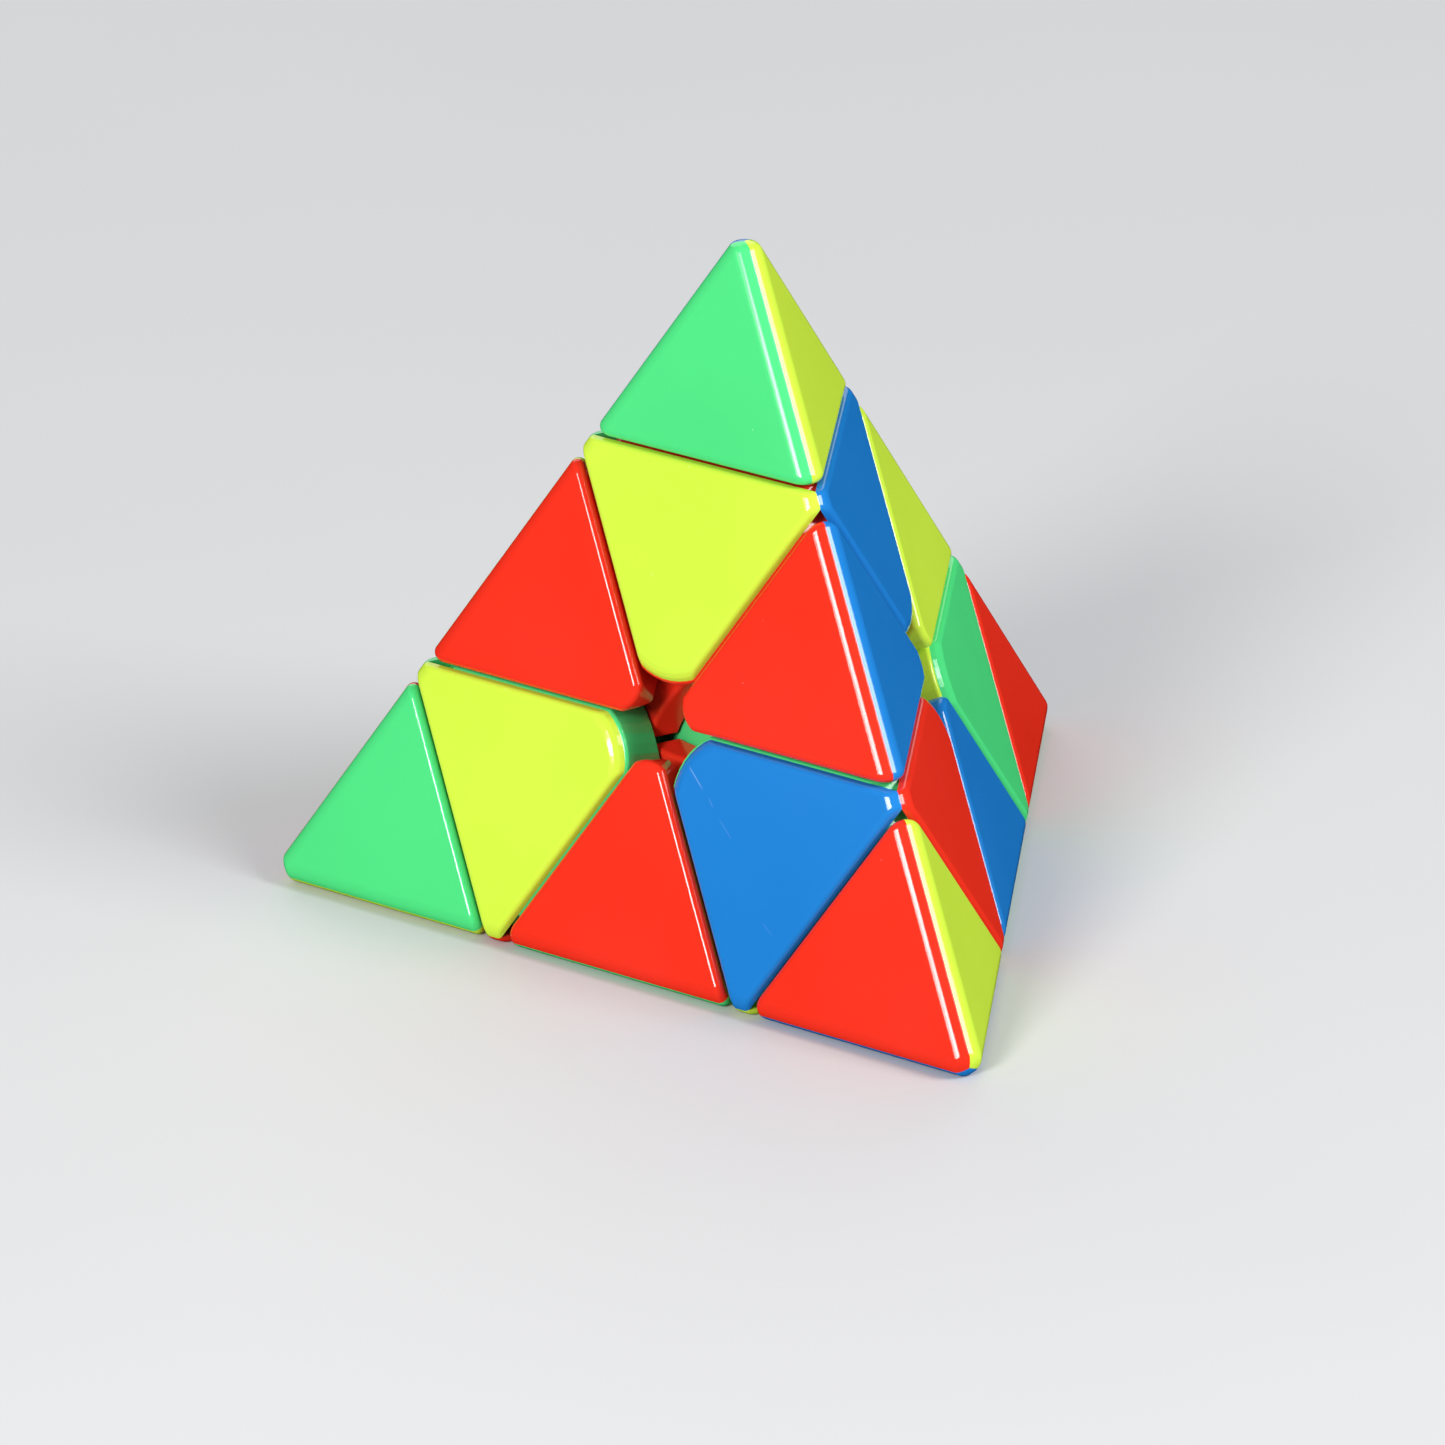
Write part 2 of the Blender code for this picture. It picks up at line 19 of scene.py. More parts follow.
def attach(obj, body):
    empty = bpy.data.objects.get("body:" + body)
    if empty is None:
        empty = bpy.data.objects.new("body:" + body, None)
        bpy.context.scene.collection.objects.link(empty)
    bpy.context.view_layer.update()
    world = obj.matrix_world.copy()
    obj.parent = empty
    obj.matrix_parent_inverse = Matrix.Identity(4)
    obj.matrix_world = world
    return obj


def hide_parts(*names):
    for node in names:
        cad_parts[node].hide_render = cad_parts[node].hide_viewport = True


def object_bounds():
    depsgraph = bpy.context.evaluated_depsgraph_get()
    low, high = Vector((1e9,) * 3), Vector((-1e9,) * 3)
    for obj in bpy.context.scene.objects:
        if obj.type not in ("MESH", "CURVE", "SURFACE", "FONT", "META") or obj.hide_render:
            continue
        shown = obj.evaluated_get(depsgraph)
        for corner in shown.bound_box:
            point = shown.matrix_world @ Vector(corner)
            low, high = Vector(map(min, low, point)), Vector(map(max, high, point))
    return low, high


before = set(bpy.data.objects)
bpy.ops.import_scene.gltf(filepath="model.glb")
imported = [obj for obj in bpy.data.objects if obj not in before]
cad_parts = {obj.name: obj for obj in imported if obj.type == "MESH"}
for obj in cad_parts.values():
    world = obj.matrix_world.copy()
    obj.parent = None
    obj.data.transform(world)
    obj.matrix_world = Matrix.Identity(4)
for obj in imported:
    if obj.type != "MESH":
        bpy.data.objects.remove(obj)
CAD_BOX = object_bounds()

MM = 0.001

# The sharp tetrahedron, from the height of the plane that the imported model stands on
FACE_DISTANCE = -CAD_BOX[0].z
EDGE = FACE_DISTANCE * 12 / sqrt(6)
CORNER_DISTANCE = EDGE * sqrt(6) / 4
RIDGE_DISTANCE = EDGE * sqrt(2) / 4
TIP_CUT = CORNER_DISTANCE - EDGE / 3 * sqrt(2 / 3)
LAYER_CUT = CORNER_DISTANCE - 2 * EDGE / 3 * sqrt(2 / 3)

# Dimensions that the CAD solids have too
FIT = 0.15 * MM
RIDGE_RADIUS = 1.8 * MM
POINT_RADIUS = 3.35 * MM
SEAM_RADIUS = 0.9 * MM
RIM_RADIUS = 0.5 * MM
CAP_THICKNESS = 1.1 * MM
EDGE_NOSE_RADIUS = 3.7 * MM
HUB_NOSE_SETBACK = 5.0 * MM
HUB_NOSE_RADIUS = 8.5 * MM
CORE_RADIUS = 10.5 * MM
POST_RADIUS = 2.6 * MM
POST_TOP = 13.0 * MM
POST_BORE_RADIUS = 1.45 * MM
POST_BORE_BOTTOM = 4.0 * MM
FOOT_INNER_RADIUS = 11.0 * MM
FOOT_OUTER_RADIUS = 14.5 * MM
HOLLOW_RADIUS = 15.0 * MM
FOOT_NEAR_PLANE = 1.25 * MM
FOOT_FAR_PLANE = 0.85 * MM
STEM_RADIUS = 4.5 * MM
STEM_BOTTOM = 10.8 * MM
SOCKET_RADIUS = 2.9 * MM
SOCKET_TOP = 13.4 * MM
SHELF_HOLE_RADIUS = 1.6 * MM
SHELF_TOP = 15.6 * MM
CHAMBER_RADIUS = 3.4 * MM
CHAMBER_TOP = 28.5 * MM
PILOT_RADIUS = 1.35 * MM
TIP_HOLE_RADIUS = 1.5 * MM
TIP_FLOOR = 37.5 * MM
TIP_CAVITY_RADIUS = 3.0 * MM
TIP_CAVITY_TOP = 46.7 * MM

# The visible mouldings' own dimensions
SOFT_RIDGE_RADIUS = 2.3 * MM  # the ridges between the points, where the CAD has RIDGE_RADIUS
CAP_INSET = 0.15 * MM  # 0.3 in the CAD
FOOT_ROUNDING = 0.6 * MM
CAP_NOSE_FILLET = 2.0 * MM
HUB_RIDGE_DEPTH = 4.5 * MM  # from the sharp ridge to the body's own, which its caps cover
HUB_TOP_RECESS = 0.4 * MM  # the body stops short of its caps' edges beside the tip
CAP_BEDDING = 0.02 * MM  # a cap sits this deep in its hub, so no light gets between

ARC_STEP = radians(9)
PATCH_STEP = radians(14)
DOME_REACH = radians(50)
THIRD_TURN = radians(120)
BALL_SUBDIVISIONS = 5
TURNED_SIDES = 64
EDGE_NOSE_HALF_TURN = radians(50)
HUB_NOSE_HALF_TURN = radians(24)

# Tolerances
PARALLEL = 1e-6  # the determinant of three plane normals that meet in no one point
ON_PLANE = 1e-8
SAME_POINT_DIGITS = 7
SAME_POINT = 0.002 * MM
SAME_NORMAL_REACH = 0.004 * MM
FLAT_ANGLE = radians(0.1)
ALIGNED = 0.99999
HULL_NORMAL_MATCH = 0.7  # the least cosine between a face of a hull and a normal that it is shaded by
KEPT_NORMAL_MATCH = 0.8  # the same for a face that a Boolean has cut

CORNERS = {
    "top": np.array([0, 0, 1.0]),
    "left": np.array([-sqrt(2 / 3), -sqrt(2) / 3, -1 / 3]),
    "right": np.array([sqrt(2 / 3), -sqrt(2) / 3, -1 / 3]),
    "back": np.array([0, 2 * sqrt(2) / 3, -1 / 3]),
}
TOP, LEFT, RIGHT, BACK = CORNERS.values()
FRONT_NORMAL = -BACK
FACE_OPPOSITE = {"back": "front", "left": "right_side", "right": "left_side", "top": "bottom"}

# Facelet colours, from the scrambled state: corner or corner pair -> colour on the face opposite each corner
TIP_COLOURS = {
    "top": {"back": "green", "left": "lime", "right": "blue"},
    "left": {"back": "green", "right": "red", "top": "lime"},
    "right": {"back": "red", "left": "lime", "top": "blue"},
    "back": {"left": "red", "right": "blue", "top": "green"},
}
CAP_COLOURS = {
    "top": {"back": "lime", "left": "blue", "right": "green"},
    "left": {"back": "lime", "right": "green", "top": "red"},
    "right": {"back": "blue", "left": "red", "top": "lime"},
    "back": {"left": "green", "right": "red", "top": "blue"},
}
HUB_COLOURS = {"top": "red", "left": "green", "right": "green", "back": "lime"}
EDGE_COLOURS = {
    ("top", "left"): {"back": "red", "right": "lime"},
    ("top", "right"): {"back": "red", "left": "blue"},
    ("top", "back"): {"left": "lime", "right": "blue"},
    ("left", "right"): {"back": "red", "top": "green"},
    ("left", "back"): {"top": "lime", "right": "green"},
    ("right", "back"): {"left": "blue", "top": "green"},
}

# Linear base colours
PLASTICS = {
    "green": (0.077, 0.72, 0.217),
    "lime": (0.62, 0.86, 0.06),
    "red": (0.86, 0.030, 0.012),
    "blue": (0.013, 0.205, 0.60),
}
SCREW_TONE = (0.62, 0.62, 0.64)
SPRING_TONE = (0.70, 0.70, 0.71)
WORLD_COLOUR = (0.93, 0.95, 1.0, 1)

# Roughness from clean to smudged
GLOSS = (0.11, 0.2)
SATIN = (0.4, 0.5)

# Scratches on the right hub's front cap: start, end, width and strength
SCRATCHES = (
    ((0.00560, -0.02117, 0.00409), (0.00820, -0.02196, 0.00185), 0.10 * MM, 0.32),
    ((0.00905, -0.02217, 0.00127), (0.00990, -0.02250, 0.00035), 0.08 * MM, 0.16),
    ((0.01085, -0.02282, -0.00055), (0.01320, -0.02351, -0.00250), 0.08 * MM, 0.11),
    ((0.01900, -0.02622, -0.01010), (0.02080, -0.02665, -0.01130), 0.08 * MM, 0.08),
)


def unit(vector):
    return vector / np.linalg.norm(vector)


def angle_between(first, second):
    return acos(np.clip(first @ second, -1, 1))


def between(start, end, share):
    """The unit vector that lies a share of the way round from one direction to another."""
    angle = angle_between(start, end)
    return (start * sin((1 - share) * angle) + end * sin(share * angle)) / sin(angle)


# ---------------------------------------------------------------- rounded convex solids with exact normals


def corners_of(planes):
    """Each corner of the convex solid inside the planes, with the set of planes through it."""
    normals = np.array([plane[0] for plane in planes])
    distances = np.array([plane[1] for plane in planes])
    found = {}
    for trio in combinations(range(len(planes)), 3):
        chosen = normals[list(trio)]
        if abs(np.linalg.det(chosen)) < PARALLEL:
            continue
        point = np.linalg.solve(chosen, distances[list(trio)])
        slack = distances - normals @ point
        if slack.min() > -ON_PLANE:
            key = tuple(np.round(point, SAME_POINT_DIGITS))
            found[key] = (point, set(np.flatnonzero(slack < ON_PLANE).tolist()))
    return list(found.values())


def patch_directions(normals):
    """Directions inside the spherical polygon that the normals span, without its outline."""
    middle = unit(sum(normals))
    across = unit(np.cross(middle, normals[0]))
    up = np.cross(middle, across)
    ring = sorted(normals, key=lambda n: np.arctan2(n @ up, n @ across))
    found = [middle]
    for a, b in zip(ring, ring[1:] + ring[:1]):
        reach = max(angle_between(a, b), angle_between(a, middle), angle_between(b, middle))
        count = max(1, ceil(reach / PATCH_STEP))
        for i in range(count):
            for j in range(count - i):
                if i + j:
                    found.append(unit(a * i + b * j + middle * (count - i - j)))
    return found


def rounded_points(planes, radius):
    """(point, exact normal or None) pairs, whose hull is the planes' solid with its soft edges rounded."""
    inset = [(n, d - radius if soft else d, soft) for n, d, soft in planes]
    corners = corners_of(inset)
    points = []
    for corner, touching in corners:
        soft = [i for i in touching if inset[i][2]]
        hard = [i for i in touching if not inset[i][2]]
        if not soft:
            points.append((corner, None))
            continue
        if len(hard) > 1:
            along = np.cross(inset[hard[0]][0], inset[hard[1]][0])
            steepest = max((inset[i][0] for i in soft), key=lambda n: abs(n @ along))
            points.append((corner + along * radius / (steepest @ along), steepest))
            continue
        if len(soft) > 2 and not hard:
            points += [(corner + n * radius, n) for n in patch_directions([inset[i][0] for i in soft])]
        for i, j in combinations(soft, 2):
            if sum({i, j} <= others for _, others in corners) < 2:
                continue
            first, second = inset[i][0], inset[j][0]
            steps = max(1, round(angle_between(first, second) / ARC_STEP))
            for k in range(steps + 1):
                normal = between(first, second, k / steps)
                shift = normal * radius
                if hard:
                    along = np.cross(first, second)
                    stop = inset[hard[0]][0]
                    shift = shift - along * (stop @ shift) / (stop @ along)
                points.append((corner + shift, normal))
    return points


def write_exact(mesh, values):
    """Keeps each face corner's shading normal on the mesh, where a Boolean carries it along."""
    layer = mesh.attributes.new("exact", "FLOAT_VECTOR", "CORNER")
    layer.data.foreach_set("vector", np.array(values, np.float32).ravel())


def hull_mesh(name, points, hard_normals):
    """The hull of the points. A face on a hard plane shades flat, the others by the points' own normals."""
    mesh = bpy.data.meshes.new(name)
    bm = bmesh.new()
    for point, _ in points:
        bm.verts.new(point)
    bmesh.ops.remove_doubles(bm, verts=bm.verts, dist=SAME_POINT)
    hull = bmesh.ops.convex_hull(bm, input=bm.verts)
    spare = {v for v in hull["geom_interior"] + hull["geom_unused"] if isinstance(v, bmesh.types.BMVert)}
    bmesh.ops.delete(bm, geom=list(spare), context="VERTS")
    bmesh.ops.dissolve_limit(bm, angle_limit=FLAT_ANGLE, verts=bm.verts, edges=bm.edges)
    bmesh.ops.recalc_face_normals(bm, faces=bm.faces)
    bm.to_mesh(mesh)
    bm.free()

    known = [(point, normal) for point, normal in points if normal is not None]
    tree = KDTree(max(1, len(known)))
    for index, (point, _) in enumerate(known):
        tree.insert(point, index)
    tree.balance()
    exact = []
    for face in mesh.polygons:
        flat = np.array(face.normal)
        on_hard = any(flat @ n > ALIGNED for n in hard_normals)
        for vertex in face.vertices:
            near = [] if on_hard else tree.find_range(mesh.vertices[vertex].co, SAME_NORMAL_REACH)
            best = max((known[index][1] for _, index, _ in near), key=lambda n: n @ flat, default=flat)
            exact.append(best if best @ flat > HULL_NORMAL_MATCH else flat)
    write_exact(mesh, exact)
    return mesh


def convex_mesh(name, planes, radius=0.0):
    """The solid inside the planes, with its soft edges rounded if a radius is given."""
    if radius:
        points = rounded_points(planes, radius)
    else:
        points = [(corner, None) for corner, _ in corners_of(planes)]
    hard = [n for n, _, soft in planes if not (soft and radius)]
    return hull_mesh(name, points, hard)


def ball_mesh(name, radius):
    mesh = bpy.data.meshes.new(name)
    bm = bmesh.new()
    bmesh.ops.create_icosphere(bm, subdivisions=BALL_SUBDIVISIONS, radius=radius)
    bm.to_mesh(mesh)
    bm.free()
    write_exact(mesh, [mesh.vertices[v].co.normalized() for face in mesh.polygons for v in face.vertices])
    return mesh


def turned_mesh(name, outline):
    """A solid of revolution about Z, with (radius, height) pairs from bottom to top."""
    mesh = bpy.data.meshes.new(name)
    bm = bmesh.new()
    rings = []
    for radius, height in outline:
        angles = [2 * pi * k / TURNED_SIDES for k in range(TURNED_SIDES)]
        rings.append([bm.verts.new((radius * cos(t), radius * sin(t), height)) for t in angles])
    for below, above in zip(rings, rings[1:]):
        for k in range(TURNED_SIDES):
            after = (k + 1) % TURNED_SIDES
            bm.faces.new((below[k], below[after], above[after], above[k]))
    bm.faces.new(list(reversed(rings[0])))
    bm.faces.new(rings[-1])
    bm.to_mesh(mesh)
    bm.free()
    exact = []
    for face in mesh.polygons:
        flat = np.array(face.normal)
        for vertex in face.vertices:
            spot = np.array(mesh.vertices[vertex].co)
            round_about = unit(spot * (1, 1, 0))
            exact.append(round_about if abs(flat[2]) < 0.5 else flat)
    write_exact(mesh, exact)
    return mesh


def add_object(name, data):
    thing = bpy.data.objects.new(name, data)
    bpy.context.scene.collection.objects.link(thing)
    return thing


def combine(thing, mesh, operation):
    other = add_object(mesh.name, mesh)
    modifier = thing.modifiers.new(operation.lower(), "BOOLEAN")
    modifier.operation = operation
    modifier.solver = "EXACT"
    modifier.object = other
    return other


def cut_pattern(name, mesh, steps):
    """The mesh after each (other mesh, operation) step, as one new mesh; the working objects are removed."""
    thing = add_object(name, mesh)
    others = [combine(thing, other, operation) for other, operation in steps]
    bpy.context.view_layer.update()
    graph = bpy.context.evaluated_depsgraph_get()
    made = bpy.data.meshes.new_from_object(thing.evaluated_get(graph), depsgraph=graph)
    for spare in [thing, *others]:
        bpy.data.objects.remove(spare)
    return made


# ---------------------------------------------------------------- the pattern pieces


def rotations():
    """The 12 turns that carry a tetrahedron onto itself, each with its map of corner names."""
    found = []
    undo = 3 / 4  # the corners' outer products with themselves add up to 4/3 of the identity
    for order in permutations(CORNERS):
        matrix = undo * sum(np.outer(CORNERS[new], CORNERS[old]) for old, new in zip(CORNERS, order))
        if np.linalg.det(matrix) > 0:
            found.append((dict(zip(CORNERS, order)), matrix))
    return found


ROTATIONS = rotations()


def ridge_planes(near_face, first, second):
    """Flats round half a ridge, from a face to the ridge's own direction."""
    outward = unit(first + second)
    centre = outward * (RIDGE_DISTANCE - SOFT_RIDGE_RADIUS * sqrt(3))
    steps = ceil(angle_between(near_face, outward) / ARC_STEP)
    normals = [between(near_face, outward, k / steps) for k in range(1, steps + 1)]
    return [(n, n @ centre + SOFT_RIDGE_RADIUS, True) for n in normals]


def split_plane(first, second, own_side):
    """The plane through the origin and two corners, where two colour shells of one piece meet."""
    normal = unit(np.cross(first, second))
    normal = normal if normal @ own_side < 0 else -normal
    return (normal, 0.0, False)


def nose_planes(toward, radius, setback, half_turn):
    """Upright flats round a blunt corner at the front face's centre, square to the face."""
    arc_centre = FRONT_NORMAL * FACE_DISTANCE - toward * (setback + radius)
    across = np.cross(FRONT_NORMAL, toward)
    count = 2 * ceil(half_turn / ARC_STEP) + 1
    planes = []
    for k in range(count):
        angle = half_turn * (2 * k / (count - 1) - 1)
        normal = toward * cos(angle) + across * sin(angle)
        planes.append((normal, normal @ arc_centre + radius, True))
    return planes


def fillet_planes(first, second, radius):
    """Flats round the edge between two planes, at a radius of their own."""
    (n, d, _), (m, e, _) = first, second
    centre = np.linalg.lstsq(np.array([n, m]), np.array([d - radius, e - radius]), rcond=None)[0]
    steps = ceil(angle_between(n, m) / (ARC_STEP * 2))
    normals = [between(n, m, k / steps) for k in range(1, steps)]
    return [(normal, normal @ centre + radius, True) for normal in normals]


def dome_planes():
    """Flats round the top point over the front shell, tangent to a ball that the three ridges run out on."""
    ridge = unit(TOP + LEFT)
    ridge_top = RIDGE_DISTANCE - RIDGE_RADIUS * (sqrt(3) - 1)
    centre = TOP * (ridge_top - POINT_RADIUS) / (TOP @ ridge)
    level = unit(FRONT_NORMAL - (FRONT_NORMAL @ TOP) * TOP)
    across = np.cross(TOP, level)
    directions = [TOP]
    rings = ceil(DOME_REACH / ARC_STEP)
    for ring in range(1, rings + 1):
        tilt = DOME_REACH * ring / rings
        count = ceil(THIRD_TURN * sin(tilt) / ARC_STEP)
        for k in range(count + 1):
            turn = THIRD_TURN * (k / count - 0.5)
            directions.append(TOP * cos(tilt) + (level * cos(turn) + across * sin(turn)) * sin(tilt))
    return [(n, n @ centre + POINT_RADIUS, True) for n in directions]


def tip_pattern():
    """The top tip's front shell."""
    planes = [
        (FRONT_NORMAL, FACE_DISTANCE, True),
        (-TOP, -(TIP_CUT + FIT), True),
        split_plane(TOP, LEFT, RIGHT),
        split_plane(TOP, RIGHT, LEFT),
    ]
    planes += ridge_planes(FRONT_NORMAL, TOP, LEFT) + ridge_planes(FRONT_NORMAL, TOP, RIGHT) + dome_planes()
    outline = [
        (TIP_HOLE_RADIUS, TIP_CUT - MM),
        (TIP_HOLE_RADIUS, TIP_FLOOR),
        (TIP_CAVITY_RADIUS, TIP_FLOOR),
        (TIP_CAVITY_RADIUS, TIP_CAVITY_TOP),
    ]
    shell = convex_mesh("tip_pattern", planes, SEAM_RADIUS)
    return cut_pattern("tip_pattern", shell, [(turned_mesh("tip_cavity", outline), "DIFFERENCE")])


def ball_planes(radius, bounds):
    """Flats tangent to a ball about the origin, evenly spread over the part of it that the bounds leave."""
    count = ceil(4 * pi / ARC_STEP**2)
    golden = pi * (3 - sqrt(5))
    planes = []
    for k in range(count):
        height = 1 - (2 * k + 1) / count
        level = sqrt(1 - height**2)
        normal = np.array([level * cos(golden * k), level * sin(golden * k), height])
        if all(n @ normal * radius < d + radius * ARC_STEP / 2 for n, d, _ in bounds):
            planes.append((normal, radius, True))
    return planes


def edge_pattern():
    """The front half of the top-left edge piece: outer wedge, neck and foot in one."""
    outward = unit(TOP + LEFT)
    toward_centre = unit(-outward + (outward @ FRONT_NORMAL) * FRONT_NORMAL)
    halving = split_plane(TOP, LEFT, RIGHT)
    setback = EDGE_NOSE_RADIUS + 2 * FIT
    planes = [
        (FRONT_NORMAL, FACE_DISTANCE, True),
        (-TOP, -(LAYER_CUT + FIT), True),
        (-LEFT, -(LAYER_CUT + FIT), True),
        halving,
    ]
    planes += ridge_planes(FRONT_NORMAL, TOP, LEFT)
    planes += nose_planes(toward_centre, EDGE_NOSE_RADIUS, setback, EDGE_NOSE_HALF_TURN)
    wedge = convex_mesh("edge_pattern", planes, SEAM_RADIUS)

    gap = 2 * FIT / sqrt(8 / 3)
    foot_planes = [
        halving,
        (-TOP, -FOOT_NEAR_PLANE, True),
        (-LEFT, -FOOT_NEAR_PLANE, True),
        (RIGHT, FOOT_FAR_PLANE, True),
        (unit(RIGHT - TOP), -gap / 2, True),
        (unit(RIGHT - LEFT), -gap / 2, True),
    ]
    foot_planes += ball_planes(FOOT_OUTER_RADIUS, foot_planes)
    block = convex_mesh("foot_pattern", foot_planes, FOOT_ROUNDING)
    foot = cut_pattern("foot_pattern", block, [(ball_mesh("foot_inside", FOOT_INNER_RADIUS), "DIFFERENCE")])
    return cut_pattern("edge_pattern", wedge, [(foot, "UNION")])


def front_hub_nose(setback):
    """The flats round the blunt corner of the top hub's front, below its centre line."""
    downward = unit(-BACK - 3 * TOP)
    return nose_planes(downward, HUB_NOSE_RADIUS, setback, HUB_NOSE_HALF_TURN)


def cap_pattern():
    """The coloured front plate of the top hub, sliced from a deeper rounded block."""
    face = (FRONT_NORMAL, FACE_DISTANCE, True)
    planes = [
        face,
        (-FRONT_NORMAL, -FACE_DISTANCE / 2, False),
        (TOP, TIP_CUT - FIT, True),
        (LEFT, LAYER_CUT - FIT - CAP_INSET, True),
        (RIGHT, LAYER_CUT - FIT - CAP_INSET, True),
        split_plane(TOP, LEFT, RIGHT),
        split_plane(TOP, RIGHT, LEFT),
    ]
    planes += ridge_planes(FRONT_NORMAL, TOP, LEFT) + ridge_planes(FRONT_NORMAL, TOP, RIGHT)
    for side in front_hub_nose(HUB_NOSE_SETBACK + CAP_INSET):
        planes += [side, *fillet_planes(face, side, CAP_NOSE_FILLET)]
    across = unit(np.cross(FRONT_NORMAL, TOP))
    up = np.cross(across, FRONT_NORMAL)
    slice_planes = [(direction, EDGE, False) for direction in (FRONT_NORMAL, across, -across, up, -up)]
    slice_planes.append((-FRONT_NORMAL, -(FACE_DISTANCE - CAP_THICKNESS), False))
    block = convex_mesh("cap_pattern", planes, SEAM_RADIUS)
    return cut_pattern("cap_pattern", block, [(convex_mesh("cap_slice", slice_planes), "INTERSECT")])


def hub_pattern():
    """The top hub: an octahedral body over the feet, with a stem that turns round the core's post."""
    body_planes = [(TOP, TIP_CUT - FIT - HUB_TOP_RECESS, True), (-TOP, -(LAYER_CUT + FIT), True)]
    for corner in (LEFT, RIGHT, BACK):
        body_planes.append((corner, LAYER_CUT - FIT, True))
        body_planes.append((-corner, FACE_DISTANCE - CAP_THICKNESS + CAP_BEDDING, True))
        body_planes.append((unit(TOP + corner), RIDGE_DISTANCE - HUB_RIDGE_DEPTH, True))
    for mapping, turn in ROTATIONS:
        if mapping["top"] == "top":
            nose = front_hub_nose(HUB_NOSE_SETBACK)
            body_planes += [(turn @ normal, distance, soft) for normal, distance, soft in nose]
    stem_outline = [(STEM_RADIUS, STEM_BOTTOM), (STEM_RADIUS, HOLLOW_RADIUS + 2 * MM)]
    bore = [
        (SOCKET_RADIUS, STEM_BOTTOM - MM),
        (SOCKET_RADIUS, SOCKET_TOP),
        (SHELF_HOLE_RADIUS, SOCKET_TOP),
        (SHELF_HOLE_RADIUS, SHELF_TOP),
        (CHAMBER_RADIUS, SHELF_TOP),
        (CHAMBER_RADIUS, CHAMBER_TOP),
        (PILOT_RADIUS, CHAMBER_TOP),
        (PILOT_RADIUS, TIP_CUT + MM),
    ]
    steps = [
        (ball_mesh("hub_hollow", HOLLOW_RADIUS), "DIFFERENCE"),
        (turned_mesh("hub_stem", stem_outline), "UNION"),
        (turned_mesh("hub_bore", bore), "DIFFERENCE"),
    ]
    return cut_pattern("hub_pattern", convex_mesh("hub_pattern", body_planes, RIM_RADIUS), steps)


def turned_to(mesh, turn):
    """The mesh and its kept normals, turned about the origin."""
    exact = np.zeros(len(mesh.loops) * 3, np.float32)
    mesh.attributes["exact"].data.foreach_get("vector", exact)
    exact = exact.reshape(-1, 3) @ turn.T
    mesh.attributes["exact"].data.foreach_set("vector", exact.astype(np.float32).ravel())
    mesh.transform(Matrix(turn.tolist()).to_4x4())
    return mesh


def core_pattern():
    """The ball core with its four drilled posts."""
    post = [(POST_RADIUS, CORE_RADIUS / 2), (POST_RADIUS, POST_TOP)]
    bore = [(POST_BORE_RADIUS, POST_BORE_BOTTOM), (POST_BORE_RADIUS, POST_TOP + MM)]
    turns = {mapping["top"]: turn for mapping, turn in ROTATIONS}.values()
    steps = [(turned_to(turned_mesh("core_post", post), turn), "UNION") for turn in turns]
    steps += [(turned_to(turned_mesh("core_bore", bore), turn), "DIFFERENCE") for turn in turns]
    return cut_pattern("core_pattern", ball_mesh("core_pattern", CORE_RADIUS), steps)


def pattern_arrays(mesh):
    """(points, faces, shading normals) of a pattern, with each kept normal turned to its face's side."""
    points = np.array([v.co for v in mesh.vertices], float)
    faces = [tuple(face.vertices) for face in mesh.polygons]
    kept = np.zeros(len(mesh.loops) * 3, np.float32)
    mesh.attributes["exact"].data.foreach_get("vector", kept)
    kept = kept.reshape(-1, 3)
    normals = np.zeros_like(kept)
    for face in mesh.polygons:
        flat = np.array(face.normal)
        for loop in face.loop_indices:
            length = np.linalg.norm(kept[loop])
            exact = kept[loop] / length if length > 0.5 else flat
            exact = exact if exact @ flat > 0 else -exact
            normals[loop] = exact if exact @ flat > KEPT_NORMAL_MATCH else flat
    return points, faces, normals


def add_piece(name, pattern, turn, material, body, node):
    """One finished moulding in place, riding on its body and standing for its CAD node."""
    points, faces, normals = pattern
    mesh = bpy.data.meshes.new(name)
    mesh.from_pydata((points @ turn.T).tolist(), [], faces)
    mesh.shade_smooth()
    mesh.normals_split_custom_set((normals @ turn.T).tolist())
    mesh.materials.append(material)
    piece = add_object(name, mesh)
    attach(piece, body)
    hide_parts(node)
    return piece


# ---------------------------------------------------------------- materials


